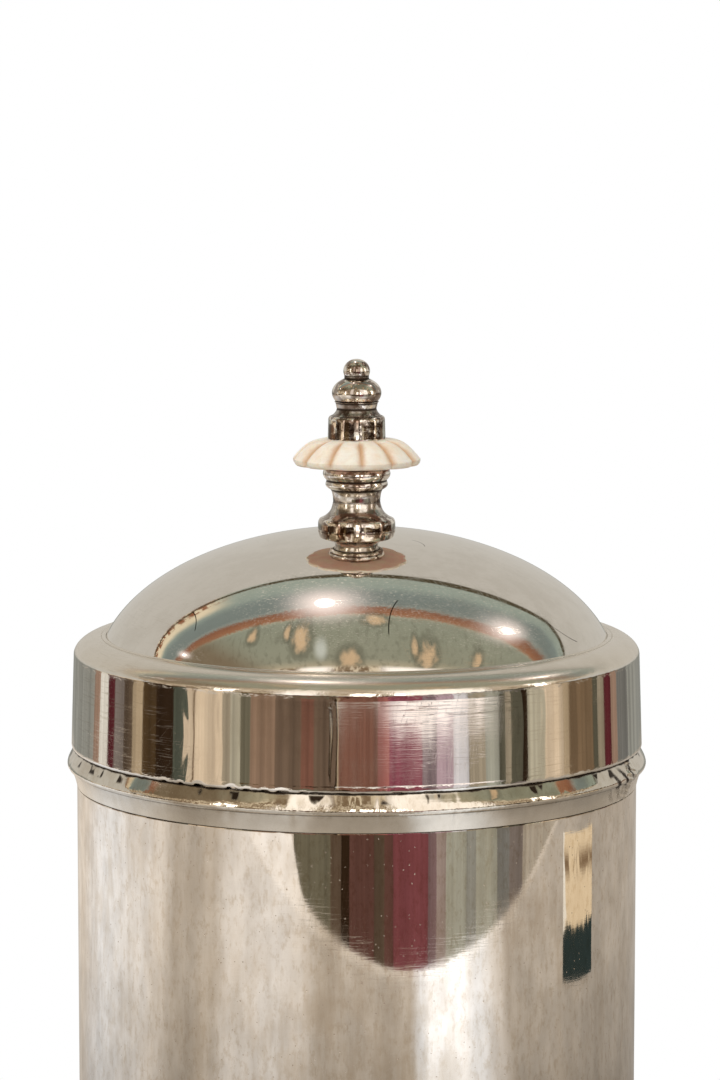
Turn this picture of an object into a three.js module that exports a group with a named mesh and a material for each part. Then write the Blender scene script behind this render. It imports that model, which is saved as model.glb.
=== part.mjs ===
// Round silver-plated storage jar with a slip-on domed lid. The lid carries a turned finial that clamps
// a carved bone disc. Millimetres, +Z up. The origin is the centre of the foot's underside, and -Y is
// the front.

import * as THREE from 'three';

// Jar
const seatHeight = 118; // the lid's seat, above the surface that the jar stands on
const wallRadius = 59; // outside of the wall
const wallSheet = 0.8;
const wallLift = 0.6; // the wall's lower edge, above that surface
const neckDrawIn = 0.55; // how far the wall draws in to form the neck
const drawInHeight = 4.7;
const drawInDrop = 1.3; // plain neck between the rim moulding and the draw-in
const neckTopGap = 2.6; // the neck's edge, below the top of the lid's band
const floorHeight = 4; // inside bottom of the jar, above that surface
const floorSheet = 0.8;
const footHeight = 5;
const footFlat = 1.2; // width that the foot stands on
const footSwell = 0.9;
const footTopEdge = 0.4;

// Rim moulding, soldered round the neck
const beadHeight = 4.3;
const beadSwell = 0.95;
const beadFootReach = 0.1; // the bead's lower edge, beyond the lid's mouth
const coveHeight = 3.7;
const coveHollow = 0.18;
const coveEdge = 0.15; // thickness that the cove runs out to

// Lid
const lidSheet = 0.9;
const slipGap = 0.15; // between the neck and the top of the lid's band
const bandHeight = 19.6;
const bandTaper = 0.6; // the mouth is this much wider in radius than the top of the band
const seatWidth = 0.25; // flat edge that the lid rests on, inside the turned hem
const hemHeight = 1.4;
const shoulderWidth = 6.85;
const shoulderRise = 3.85;
const domeSheet = 0.8;
const domeRise = 22.3; // from the shoulder up to where the dome's curve would peak
const domeSink = 8.7; // centre of the dome's ellipse, below the shoulder
const domeTuck = 2; // the dome's rim, tucked in under the shoulder

// Finial: the stem's heights are rises, each above the one before
const collarRadius = 8.15;
const collarHeight = 1.5;
const collarEdge = 0.65;
const collarEdgeRise = 1.1;
const waistRadius = 4.95;
const waistRise = 3.5;
const waistHollow = 0.65;
const throatRadius = 5.75;
const throatRise = 2.7;
const ringRadius = 6.3;
const ringRise = 1.8;
const ringSwell = 0.5;
const cupRadius = 6.75;
const cupRise = 2.6;
const cupSwell = 0.55;
const cupLip = 0.7;

const discRadius = 13.45;
const discHeight = 5.4;
const discRimHeight = 1.3;
const discRimTuck = 1.05; // how far the rim's lower edge turns in
const discCrown = 0.45; // how far the disc's top bulges
const discSeatMargin = 0.45; // flat round the knob's collar
const petalCount = 12;
const petalScallop = 0.4;
const petalGroove = 0.5;
const petalTurn = 5; // degrees that the groove nearest the front lies to the right

const knobCollarRadius = 6.05;
const knobCollarHeight = 4.1;
const knobEdge = 0.7;
const knobNeckRadius = 4.15;
const knobNeckRise = 1.5;
const knobNeckHollow = 0.2;
const bulbRadius = 5.18;
const bulbHalfHeight = 3.4;
const bulbFootCut = 0.73; // the bulb's foot is this much smaller in radius than the bulb
const bulbFootRise = 1.6;
const ballRadius = 2.92;
const ballHalfHeight = 2.5;
const ballNeckCut = 0.22; // the ball's neck is this much smaller in radius than the ball
const ballNeckRise = 0.66;

// Fastening
const studRadius = 2;
const studGrip = 6; // how deep the stud runs into the knob
const studTail = 2.5; // the stud's end, below the nut
const studTipGap = 0.3;
const boreGap = 0.2;
const washerInset = 0.55; // the washer's edge, inside the collar's
const washerThickness = 1.2;
const nutFlats = 7;
const nutThickness = 3.2;

// Fits
const solderGap = 0.05; // radial room for solder
const stackGap = 0.02; // between pieces that are stacked and clamped

// Facets
const sheetFacets = 72;
const turnedFacets = 36;
const discFacets = 72;

// Sizes that follow
const neckRadius = wallRadius - neckDrawIn;
const mouldingHeight = beadHeight + coveHeight;
const drawInTop = seatHeight - mouldingHeight - drawInDrop;
const drawInFoot = drawInTop - drawInHeight;
const bandInside = neckRadius + slipGap;
const bandRadius = bandInside + lidSheet;
const mouthInside = bandInside + bandTaper;
const mouthRadius = mouthInside + lidSheet;
const seatRadius = mouthInside + seatWidth;
const neckTop = seatHeight + bandHeight - neckTopGap;
const shoulderTop = bandHeight + shoulderRise;
const domeEdgeRadius = bandRadius - shoulderWidth;
const domeCentre = shoulderTop - domeSink;
const domeSemiHeight = domeRise + domeSink;
const domeSemiRadius = domeEdgeRadius / Math.sqrt(1 - (domeSink / domeSemiHeight) ** 2);
const domeSeat = domeCentre + domeSemiHeight * Math.sqrt(1 - (collarRadius / domeSemiRadius) ** 2);
const boreRadius = studRadius + boreGap;
const waistHeight = collarHeight + collarEdgeRise + waistRise;
const throatHeight = waistHeight + throatRise;
const ringHeight = throatHeight + ringRise;
const cupHeight = ringHeight + cupRise;
const stemHeight = cupHeight + cupLip;
const discSeat = 2 * stackGap + stemHeight;
const discSeatRadius = knobCollarRadius + discSeatMargin;
const knobSeat = discSeat + discHeight + stackGap;

const at = (radius, height) => new THREE.Vector2(radius, height);

// Points after a on a path of a number of steps: place() takes a share of the way, from 0 to 1.
function path(steps, place) {
  return Array.from({ length: steps }, (_, step) => place((step + 1) / steps));
}

// A quarter of an ellipse from a to b that leaves a along the axis, or across it.
function quarter(a, b, steps, across = false) {
  return path(steps, (share) => {
    const turn = (share * Math.PI) / 2;
    const slow = 1 - Math.cos(turn);
    const fast = Math.sin(turn);
    const [radial, axial] = across ? [fast, slow] : [slow, fast];
    return at(a.x + (b.x - a.x) * radial, a.y + (b.y - a.y) * axial);
  });
}

// A straight run from a to b that swells out by a half sine wave, or hollows where bulge is negative.
function swell(a, b, bulge, steps) {
  const length = a.distanceTo(b);
  const normal = at((b.y - a.y) / length, (a.x - b.x) / length);
  return path(steps, (share) =>
    a.clone().lerp(b, share).addScaledVector(normal, bulge * Math.sin(Math.PI * share)),
  );
}

// A smooth change of radius from a to b that starts and ends along the axis.
function ease(a, b, steps) {
  return path(steps, (share) =>
    at(a.x + ((b.x - a.x) * (1 - Math.cos(Math.PI * share))) / 2, a.y + (b.y - a.y) * share),
  );
}

// Radius of the dome's ellipse at a height above the lid's seat, inside it by an inset.
function domeRadiusAt(height, inset = 0) {
  const rise = (height - domeCentre) / (domeSemiHeight - inset);
  return (domeSemiRadius - inset) * Math.sqrt(1 - rise ** 2);
}

// The dome's ellipse between two heights, in equal turns.
function domeArc(from, to, inset, steps) {
  const turnAt = (height) => Math.asin((height - domeCentre) / (domeSemiHeight - inset));
  return path(steps, (share) => {
    const turn = turnAt(from) + (turnAt(to) - turnAt(from)) * share;
    const height = domeCentre + (domeSemiHeight - inset) * Math.sin(turn);
    return at((domeSemiRadius - inset) * Math.cos(turn), height);
  });
}

// The shoulder's quarter ellipse from the band to a radius, inside it by an inset.
function shoulderArc(toRadius, inset, steps) {
  const width = shoulderWidth - inset;
  const endTurn = Math.acos((toRadius - domeEdgeRadius) / width);
  return path(steps, (share) => {
    const turn = endTurn * share;
    const height = bandHeight + (shoulderRise - inset) * Math.sin(turn);
    return at(domeEdgeRadius + width * Math.cos(turn), height);
  });
}

// Turns a profile round +Z. It runs anticlockwise: outwards below, up the outside and back down the inside.
function turned(points, facets) {
  return new THREE.LatheGeometry(points, facets).rotateX(Math.PI / 2);
}

// The same, for a ring whose profile closes on its first point.
function turnedRing(points, facets) {
  return turned([...points, points[0].clone()], facets);
}

function silverPlate(colour, roughness) {
  return new THREE.MeshStandardMaterial({ color: colour, roughness, metalness: 1 });
}

function piece(name, geometry, material, height = 0) {
  const mesh = new THREE.Mesh(geometry, material);
  mesh.name = name;
  mesh.position.z = height;
  return mesh;
}

// Straight sheet wall. Its top draws in and goes on up as the neck that the lid slips over.
function bodyWall() {
  const foot = at(wallRadius, drawInFoot);
  const innerTop = at(neckRadius - wallSheet, drawInTop);
  return turnedRing(
    [
      at(wallRadius - wallSheet, wallLift),
      at(wallRadius, wallLift),
      foot,
      ...ease(foot, at(neckRadius, drawInTop), 4),
      at(neckRadius, neckTop),
      at(neckRadius - wallSheet, neckTop),
      innerTop,
      ...ease(innerTop, at(wallRadius - wallSheet, drawInFoot), 4),
    ],
    sheetFacets,
  );
}

// Flat bottom, let in above the foot, with its flange turned down inside the wall.
function bodyFloor() {
  const flangeRadius = wallRadius - wallSheet - solderGap;
  return turned(
    [
      at(0, floorHeight - floorSheet),
      at(flangeRadius - floorSheet, floorHeight - floorSheet),
      at(flangeRadius - floorSheet, wallLift),
      at(flangeRadius, wallLift),
      at(flangeRadius, floorHeight),
      at(0, floorHeight),
    ],
    sheetFacets,
  );
}

// Half-round wire round the foot of the wall, flat where the jar stands on it.
function footRing() {
  const inside = wallRadius + solderGap;
  const outerFoot = at(inside + footFlat, 0);
  return turnedRing(
    [at(inside, 0), outerFoot, ...swell(outerFoot, at(inside + footTopEdge, footHeight), footSwell, 6),
      at(inside, footHeight)],
    sheetFacets,
  );
}

// Bead over a cove. The flat top is the lid's seat, and the cove thins out onto the neck.
function rimMoulding() {
  const inside = neckRadius + solderGap;
  const coveFoot = at(inside + coveEdge, -mouldingHeight);
  const beadFoot = at(mouthRadius + beadFootReach, -beadHeight);
  return turnedRing(
    [at(inside, -mouldingHeight), coveFoot, ...swell(coveFoot, beadFoot, -coveHollow, 4),
      ...swell(beadFoot, at(seatRadius, 0), beadSwell, 7), at(inside, 0)],
    sheetFacets,
  );
}

// Band with a rounded shoulder, which ends in a lip round the dome.
function lidBand() {
  const hemFoot = at(seatRadius, 0);
  const lipTop = domeRadiusAt(shoulderTop) + solderGap;
  const lipUnder = domeRadiusAt(shoulderTop - lidSheet) + solderGap;
  const outside = [at(bandRadius, bandHeight), ...shoulderArc(lipTop, 0, 7)];
  const inside = [at(bandInside, bandHeight), ...shoulderArc(lipUnder, lidSheet, 5)];
  return turnedRing(
    [at(mouthInside, 0), hemFoot, ...quarter(hemFoot, at(mouthRadius, hemHeight), 3, true),
      ...outside, ...inside.reverse()],
    sheetFacets,
  );
}

// Low dome, pierced and flattened at the top where the finial stands.
function lidDome() {
  const rim = shoulderTop - domeTuck;
  const flatUnder = domeSeat - domeSheet;
  return turnedRing(
    [
      at(domeRadiusAt(rim, domeSheet), rim),
      at(domeRadiusAt(rim), rim),
      ...domeArc(rim, domeSeat, 0, 9),
      at(boreRadius, domeSeat),
      at(boreRadius, flatUnder),
      at(domeRadiusAt(flatUnder, domeSheet), flatUnder),
      ...domeArc(flatUnder, rim, domeSheet, 7).slice(0, -1),
    ],
    sheetFacets,
  );
}

// Collar, drawn-in waist, ring and cup, bored through for the stud.
function finialBase() {
  const collarTop = at(collarRadius, collarHeight);
  const edgeTop = at(collarRadius - collarEdge, collarHeight + collarEdgeRise);
  const waist = at(waistRadius, waistHeight);
  const throat = at(throatRadius, throatHeight);
  const ringTop = at(ringRadius, ringHeight);
  return turnedRing(
    [
      at(boreRadius, 0),
      at(collarRadius, 0),
      collarTop,
      ...quarter(collarTop, edgeTop, 2),
      ...swell(edgeTop, waist, -waistHollow, 4),
      ...quarter(waist, throat, 3),
      ...swell(throat, ringTop, ringSwell, 3),
      ...swell(ringTop, at(cupRadius, cupHeight), cupSwell, 4),
      at(cupRadius, stemHeight),
      at(boreRadius, stemHeight),
    ],
    turnedFacets,
  );
}

// Umbrella-shaped disc. Grooves between the petals sink its top and notch its rim.
function boneDisc() {
  const rim = at(discRadius, discRimHeight);
  const under = at(discRadius - discRimTuck, 0);
  const geometry = turnedRing(
    [at(boreRadius, 0), under, ...quarter(under, rim, 2, true),
      ...swell(rim, at(discSeatRadius, discHeight), discCrown, 6), at(boreRadius, discHeight)],
    discFacets,
  );
  const points = geometry.attributes.position;
  for (let index = 0; index < points.count; index += 1) {
    const radius = Math.hypot(points.getX(index), points.getY(index));
    const height = points.getZ(index);
    const turn = Math.atan2(points.getY(index), points.getX(index));
    const groove = (1 - Math.abs(Math.sin((petalCount * turn) / 2))) ** 2;
    const reach = Math.max(0, (radius - discSeatRadius) / (discRadius - discSeatRadius));
    const scale = 1 - (petalScallop * groove * reach ** 2) / radius;
    const sink = height > discRimHeight ? petalGroove * groove * Math.sin(Math.PI * reach) : 0;
    points.setXYZ(index, points.getX(index) * scale, points.getY(index) * scale, height - sink);
  }
  return geometry;
}

// Points on an ellipse round the axis, after its foot and up past its middle to an end radius.
function bulbArc(foot, semiRadius, semiHeight, endRadius, steps) {
  const footTurn = -Math.acos(foot.x / semiRadius);
  const endTurn = Math.acos(endRadius / semiRadius);
  const centre = foot.y - semiHeight * Math.sin(footTurn);
  return path(steps, (share) => {
    const turn = footTurn + (endTurn - footTurn) * share;
    const radius = share === 1 ? endRadius : semiRadius * Math.cos(turn);
    return at(radius, centre + semiHeight * Math.sin(turn));
  });
}

// Collar, neck, bulb and ball, with a blind bore for the stud.
function finialKnob() {
  const collarTop = at(knobCollarRadius, knobCollarHeight);
  const edgeTop = at(knobCollarRadius - knobEdge, knobCollarHeight + knobEdge);
  const neck = at(knobNeckRadius, edgeTop.y + knobNeckRise);
  const bulbFoot = at(bulbRadius - bulbFootCut, neck.y + bulbFootRise);
  const ballNeckRadius = ballRadius - ballNeckCut;
  const bulb = bulbArc(bulbFoot, bulbRadius, bulbHalfHeight, ballNeckRadius, 7);
  const ballFoot = at(ballNeckRadius, bulb.at(-1).y + ballNeckRise);
  return turned(
    [
      at(0, studGrip),
      at(boreRadius, studGrip),
      at(boreRadius, 0),
      at(knobCollarRadius, 0),
      collarTop,
      ...quarter(collarTop, edgeTop, 2),
      ...swell(edgeTop, neck, -knobNeckHollow, 2),
      bulbFoot,
      ...bulb,
      ballFoot,
      ...bulbArc(ballFoot, ballRadius, ballHalfHeight, 0, 7),
    ],
    turnedFacets,
  );
}

function stud(length) {
  return turned([at(0, 0), at(studRadius, 0), at(studRadius, length), at(0, length)], turnedFacets);
}

function washer() {
  const washerRadius = collarRadius - washerInset;
  return turnedRing(
    [at(boreRadius, 0), at(washerRadius, 0), at(washerRadius, washerThickness),
      at(boreRadius, washerThickness)],
    turnedFacets,
  );
}

function hexNut() {
  const corner = nutFlats / Math.sqrt(3);
  const outline = new THREE.Shape(
    Array.from({ length: 6 }, (_, side) => {
      const turn = (side * Math.PI) / 3;
      return at(corner * Math.cos(turn), corner * Math.sin(turn));
    }),
  );
  outline.holes.push(new THREE.Path().absarc(0, 0, boreRadius, 0, 2 * Math.PI, true));
  return new THREE.ExtrudeGeometry(outline, {
    depth: nutThickness, bevelEnabled: false, curveSegments: turnedFacets / 2,
  });
}

// Fastening, from the dome's underside down
const washerFoot = -domeSheet - stackGap - washerThickness;
const nutFoot = washerFoot - stackGap - nutThickness;
const studFoot = nutFoot - studTail;
const studTop = knobSeat + studGrip - studTipGap;

const jar = new THREE.Group();
jar.add(
  piece('body_wall', bodyWall(), silverPlate(0xcdc3b4, 0.32)),
  piece('body_floor', bodyFloor(), silverPlate(0xb9b0a2, 0.4)),
  piece('foot_ring', footRing(), silverPlate(0xc6bdae, 0.28)),
  piece('rim_moulding', rimMoulding(), silverPlate(0xb5a996, 0.3), seatHeight),
);

const finial = new THREE.Group();
finial.position.z = domeSeat;
const carvedBone = new THREE.MeshStandardMaterial({ color: 0xf1dfc4, roughness: 0.5, metalness: 0 });
const disc = piece('bone_disc', boneDisc(), carvedBone, discSeat);
disc.rotation.z = THREE.MathUtils.degToRad(petalTurn);
finial.add(
  piece('finial_base', finialBase(), silverPlate(0xa59c8c, 0.22), stackGap),
  disc,
  piece('finial_knob', finialKnob(), silverPlate(0xa0978a, 0.22), knobSeat),
  piece('finial_stud', stud(studTop - studFoot), silverPlate(0xb49a63, 0.45), studFoot),
  piece('finial_washer', washer(), silverPlate(0xb79e68, 0.42), washerFoot),
  piece('finial_nut', hexNut(), silverPlate(0xb0965c, 0.45), nutFoot),
);

const lid = new THREE.Group();
lid.position.z = seatHeight;
lid.add(
  piece('lid_band', lidBand(), silverPlate(0xc9c2b6, 0.15)),
  piece('lid_dome', lidDome(), silverPlate(0xccc7bc, 0.12)),
  finial,
);

const assembly = new THREE.Group();
assembly.add(jar, lid);

export default assembly;
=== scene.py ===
import math

import bmesh
import bpy
import numpy as np
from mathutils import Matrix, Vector


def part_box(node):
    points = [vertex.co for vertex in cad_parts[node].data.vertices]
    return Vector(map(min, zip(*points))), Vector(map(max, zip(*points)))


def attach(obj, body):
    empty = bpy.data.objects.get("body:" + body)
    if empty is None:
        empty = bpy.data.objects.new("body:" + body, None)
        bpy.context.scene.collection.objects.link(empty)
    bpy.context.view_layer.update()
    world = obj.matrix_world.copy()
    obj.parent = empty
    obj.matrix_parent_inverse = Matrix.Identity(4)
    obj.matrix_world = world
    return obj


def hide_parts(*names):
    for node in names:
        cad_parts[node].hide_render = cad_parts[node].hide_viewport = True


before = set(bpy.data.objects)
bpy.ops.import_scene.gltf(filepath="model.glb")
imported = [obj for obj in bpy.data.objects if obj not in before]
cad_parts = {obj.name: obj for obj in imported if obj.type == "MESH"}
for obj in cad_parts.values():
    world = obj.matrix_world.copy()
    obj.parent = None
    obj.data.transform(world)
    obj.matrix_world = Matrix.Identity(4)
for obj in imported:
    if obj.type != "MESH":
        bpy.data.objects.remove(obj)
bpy.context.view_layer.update()  # bodies "jar" and "lid", each CAD node riding on its own
mm = 0.001
print("frame loaded:", len(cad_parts), "nodes")


# profiles are arrays of (radius, height) in millimetres: outwards below, up the outside, down the inside
def point(radius, height):
    return np.array([[radius, height]], float)


def unit(values):
    # limited to between 0 and 1
    return np.clip(values, 0, 1)


def shares(steps):
    # column of 1 / steps, 2 / steps and so on up to 1
    return (np.arange(steps) + 1.0)[:, None] / steps


def quarter(a, b, steps, across=False):
    # quarter of an ellipse from a to b: one coordinate goes by 1 - cos, the other by sin
    turn = shares(steps) * math.pi / 2
    slow, fast = 1 - np.cos(turn), np.sin(turn)
    radial, axial = (fast, slow) if across else (slow, fast)
    return a + (b - a) * np.hstack([radial, axial])


def swell(a, b, bulge, steps, skew=1.0):
    # straight run from a to b, pushed out along its normal by sin(pi share^skew), fullest near a below 1
    run = (b - a)[0]
    normal = np.array([run[1], -run[0]]) / np.hypot(*run)
    return a + (b - a) * shares(steps) + bulge * np.sin(math.pi * shares(steps) ** skew) * normal


def ease(a, b, steps):
    # height runs evenly while the radius changes by a half cosine
    share = shares(steps)
    return a + (b - a) * np.hstack([(1 - np.cos(math.pi * share)) / 2, share])


def ellipseArc(centre, radii, fromTurn, toTurn, steps):
    # centre + (across * cos turn, up * sin turn), the turn running evenly in degrees
    turn = np.radians(fromTurn + (toTurn - fromTurn) * shares(steps))
    return centre + np.hstack([radii[0] * np.cos(turn), radii[1] * np.sin(turn)])


def spread(counts):
    # for each copy of each item, the item's number and the copy's number within it
    index = np.repeat(np.arange(len(counts)), counts)
    return index, np.arange(len(index)) - np.repeat(np.cumsum(counts) - counts, counts)


def soften(profile, cut, closed, sharp=22.0, steps=6):
    # a corner p that turns by more than sharp degrees becomes (1-t)^2 a + 2t(1-t) p + t^2 b, where
    # a and b lie a cut away from it on its two edges, but within 0.42 of the shorter edge
    before = np.roll(profile, 1, 0) - profile
    after = np.roll(profile, -1, 0) - profile
    lengthBefore = np.hypot(*before.T) + 1e-9
    lengthAfter = np.hypot(*after.T) + 1e-9
    cosine = -(before * after).sum(1) / (lengthBefore * lengthAfter)
    isSharp = np.degrees(np.arccos(np.clip(cosine, -1, 1))) > sharp
    if not closed:
        isSharp[[0, -1]] = False
    reach = np.minimum(cut, 0.42 * np.minimum(lengthBefore, lengthAfter)) * isSharp
    counts = np.where(isSharp, steps + 1, 1)
    index, within = spread(counts)
    t = (within / np.maximum(counts[index] - 1, 1))[:, None]
    a = profile + before * (reach / lengthBefore)[:, None]
    b = profile + after * (reach / lengthAfter)[:, None]
    return (1 - t) ** 2 * a[index] + 2 * t * (1 - t) * profile[index] + t ** 2 * b[index]


def refine(profile, spacing, closed):
    # each straight run longer than the spacing is cut into equal shares
    start = profile if closed else profile[:-1]
    follow = np.roll(profile, -1, 0) if closed else profile[1:]
    counts = np.maximum(np.ceil(np.hypot(*(follow - start).T) / spacing).astype(int), 1)
    index, within = spread(counts)
    t = (within / counts[index])[:, None]
    fine = start[index] * (1 - t) + follow[index] * t
    return fine if closed else np.vstack([fine, profile[-1:]])


def cavityOf(profile, closed, width):
    # (profile blurred by a bell curve - profile) . outward / width: above 0 in a hollow, below 0 on an edge
    path = np.vstack([profile, profile[:1]]) if closed else profile
    along = np.concatenate([[0], np.cumsum(np.hypot(*np.diff(path, axis=0).T))])
    step = width / 6
    reach = 18  # steps, three widths of the bell curve
    even = np.arange(0, along[-1], step)
    kernel = np.exp(-((np.arange(-reach, reach + 1) * step / width) ** 2))
    kernel /= kernel.sum()
    filling = {"mode": "wrap"} if closed else {"mode": "reflect", "reflect_type": "odd"}
    blurred = np.empty_like(path)
    for axis in (0, 1):
        padded = np.pad(np.interp(even, along, path[:, axis]), reach, **filling)
        blurred[:, axis] = np.interp(along, even, np.convolve(padded, kernel, "valid"))
    tangent = np.gradient(path, axis=0)
    tangent /= np.hypot(*tangent.T)[:, None] + 1e-9
    outward = np.stack([tangent[:, 1], -tangent[:, 0]], 1)
    return (((blurred - path) * outward).sum(1) / width)[:len(profile)]


def linked(name, data):
    # object with this data, put into the scene
    item = bpy.data.objects.new(name, data)
    bpy.context.scene.collection.objects.link(item)
    return item


def meshed(name, places, faces):
    # object with a mesh of these points and faces
    mesh = bpy.data.meshes.new(name)
    mesh.from_pydata(places, [], faces)
    return linked(name, mesh)


def store(mesh, name, values):
    # one number for each point of the mesh, which materials read by its name
    attribute = mesh.attributes.new(name, "FLOAT", "POINT")
    attribute.data.foreach_set("value", values.astype(np.float32))


def spin(name, profile, turns=384, spacing=0.6, cut=0.25, warp=None, cavityWidth=0.5):
    # a point at (radius, height) goes to (radius sin angle, -radius cos angle, height), with 0 in front
    closed = profile[0, 0] > 1e-6
    profile = refine(soften(profile, cut, closed), spacing, closed)
    cavity = cavityOf(profile, closed, cavityWidth)
    angle = np.arange(turns) * 2 * math.pi / turns
    radius, height = (np.repeat(column[:, None], turns, 1) for column in profile.T)
    if warp:
        radius, height = warp(radius, height, angle)
    places = np.stack([radius * np.sin(angle), -radius * np.cos(angle), height], -1) * mm
    number = np.arange(len(profile) * turns).reshape(-1, turns)
    if closed:
        number = np.vstack([number, number[:1]])
    here, onward = number[:-1], number[1:]
    quads = np.stack([here, np.roll(here, -1, 1), np.roll(onward, -1, 1), onward], -1)
    if closed:
        faces = quads.reshape(-1, 4).tolist()
    else:  # the first and the last row are poles, with triangles to one point each
        first = quads[0][:, [0, 2, 3]]
        first[:, 0] = number[0, 0]
        last = quads[-1][:, [0, 1, 2]]
        last[:, 2] = number[-1, 0]
        faces = first.tolist() + quads[1:-1].reshape(-1, 4).tolist() + last.tolist()
    piece = meshed(name, places.reshape(-1, 3).tolist(), faces)
    mesh = piece.data
    store(mesh, "cavity", np.repeat(cavity, turns))
    if not closed:
        shape = bmesh.new()
        shape.from_mesh(mesh)
        bmesh.ops.delete(shape, geom=[v for v in shape.verts if not v.link_faces], context="VERTS")
        shape.to_mesh(mesh)
        shape.free()
    mesh.polygons.foreach_set("use_smooth", np.ones(len(mesh.polygons), bool))
    return piece


def dress(piece, body, slot, material, *nodes):
    # gives a piece its material and body, and the CAD nodes that it stands for; the slot is not used
    piece.data.materials.clear()
    piece.data.materials.append(material)
    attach(piece, body)
    if nodes:
        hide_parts(*nodes)
    print("made", piece.name, len(piece.data.polygons), "faces")
    return piece


def span(node):
    # outer radius, lowest and highest height of a turned CAD node, in millimetres
    low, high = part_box(node)
    return high.x / mm, low.z / mm, high.z / mm


# camera
view = {"lens": 156.0, "sensor": 36.0, "aside": 0.7, "back": 975.0, "height": 286.9, "down": 7.34}
camera = linked("camera", bpy.data.cameras.new("camera"))
camera.data.lens = view["lens"]
camera.data.sensor_width = view["sensor"]
camera.location = (view["aside"] * mm, -view["back"] * mm, view["height"] * mm)
camera.rotation_euler = (math.radians(90 - view["down"]), 0, 0)
bpy.context.scene.camera = camera
bpy.context.scene.view_settings.view_transform = "Standard"


class Net:
    # a node tree; each call adds a node, links or sets its inputs and gives one output
    def __init__(self, tree):
        self.tree = tree
        tree.nodes.clear()

    def add(self, kind, out=0, given=None, **settings):
        node = self.tree.nodes.new(kind)
        for key, value in settings.items():
            setattr(node, key, value)
        for key, value in (given or {}).items():
            self.feed(node.inputs[key], value)
        return node.outputs[out] if node.outputs else node

    def feed(self, socket, value):
        if isinstance(value, bpy.types.NodeSocket):
            self.tree.links.new(value, socket)
        elif hasattr(value, "__len__") and socket.type == "RGBA" and len(value) == 3:
            socket.default_value = (*value, 1)
        else:
            socket.default_value = value

    def calc(self, operation, *values, clamp=False):
        given = dict(enumerate(values))
        return self.add("ShaderNodeMath", operation=operation, use_clamp=clamp, given=given)

    def times(self, first, second):
        return self.calc("MULTIPLY", first, second)

    def minus(self, first, second):
        return self.calc("SUBTRACT", first, second)

    def most(self, first, second):
        return self.calc("MAXIMUM", first, second)

    def linear(self, value, factor, offset, clamp=False):
        # value * factor + offset
        return self.calc("MULTIPLY_ADD", value, factor, offset, clamp=clamp)

    def vector(self, operation, *values, out=0):
        given = dict(enumerate(values))
        return self.add("ShaderNodeVectorMath", out=out, operation=operation, given=given)

    def scaled(self, vector, factor):
        # vector * factor
        output = self.vector("SCALE", vector)
        self.feed(output.node.inputs["Scale"], factor)
        return output

    def combine(self, x, y, z=0.0):
        return self.add("ShaderNodeCombineXYZ", given={0: x, 1: y, 2: z})

    def step(self, value, low, high, toLow=0.0, toHigh=1.0):
        # eases from toLow, where the value is low, to toHigh, where it is high
        given = {"Value": value, "From Min": low, "From Max": high, "To Min": toLow, "To Max": toHigh}
        return self.add("ShaderNodeMapRange", interpolation_type="SMOOTHSTEP", given=given)

    def above(self, value, edge, blur):
        # 0 below the edge and 1 above it, easing over the blur on each side; a blur below 0 turns it round
        return self.step(value, edge - blur, edge + blur)

    def between(self, value, low, high, blur):
        # 1 between two edges, easing to 0 over the blur on each side
        return self.times(self.above(value, low, blur), self.above(value, high, -blur))

    def line(self, value, middle, half):
        # 1 where the value equals the middle, 0 beyond half a width from it
        off = self.calc("ABSOLUTE", self.minus(value, middle))
        return self.step(off, half, half * 0.3)

    def noise(self, vector, scale, detail=3.0, roughness=0.55, distortion=0.0):
        given = {"Vector": vector, "Scale": scale, "Detail": detail, "Roughness": roughness}
        given["Distortion"] = distortion
        return self.add("ShaderNodeTexNoise", given=given)

    def blend(self, share, first, second):
        # first + share * (second - first)
        given = {0: share, 6: first, 7: second}
        settings = {"data_type": "RGBA", "blend_type": "MIX", "clamp_factor": True}
        return self.add("ShaderNodeMix", out=2, given=given, **settings)

    def ramp(self, share, stops, interpolation="LINEAR"):
        # colour between the stops, each a place and a colour
        output = self.add("ShaderNodeValToRGB", given={0: share})
        bar = output.node.color_ramp
        bar.interpolation = interpolation
        bar.elements.remove(bar.elements[1])
        bar.elements[0].position = stops[0][0]
        bar.elements[0].color = (*stops[0][1], 1)
        for place, colour in stops[1:]:
            bar.elements.new(place).color = (*colour, 1)
        return output

    def turn(self, x, y):
        # angle round the axis, 0 at the front and rising rightwards
        return self.calc("ARCTAN2", x, self.times(y, -1.0))

    def parts(self, vector):
        # x, y and z of a vector
        return self.add("ShaderNodeSeparateXYZ", given={0: vector}).node.outputs[:3]

    def rays(self):
        # 1 for rays that are seen directly, and 1 for glossy rays
        path = self.add("ShaderNodeLightPath").node.outputs
        return self.most(path["Is Camera Ray"], path["Is Transmission Ray"]), path["Is Glossy Ray"]

    def relief(self, distance, height, **given):
        # bumps as high as a distance in millimetres
        given.update({"Distance": distance * mm, "Height": height})
        return self.add("ShaderNodeBump", given=given)

    def emit(self, colour):
        return self.add("ShaderNodeEmission", given={"Color": colour, "Strength": 1.0})

    def show(self, surface):
        # makes the surface the result of the material
        self.add("ShaderNodeOutputMaterial", given={"Surface": surface})


def newMaterial(name):
    # a material, its net of nodes and its Object coordinates
    material = bpy.data.materials.new(name)
    material.use_nodes = True
    net = Net(material.node_tree)
    return material, net, net.add("ShaderNodeTexCoord", out=3)


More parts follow.
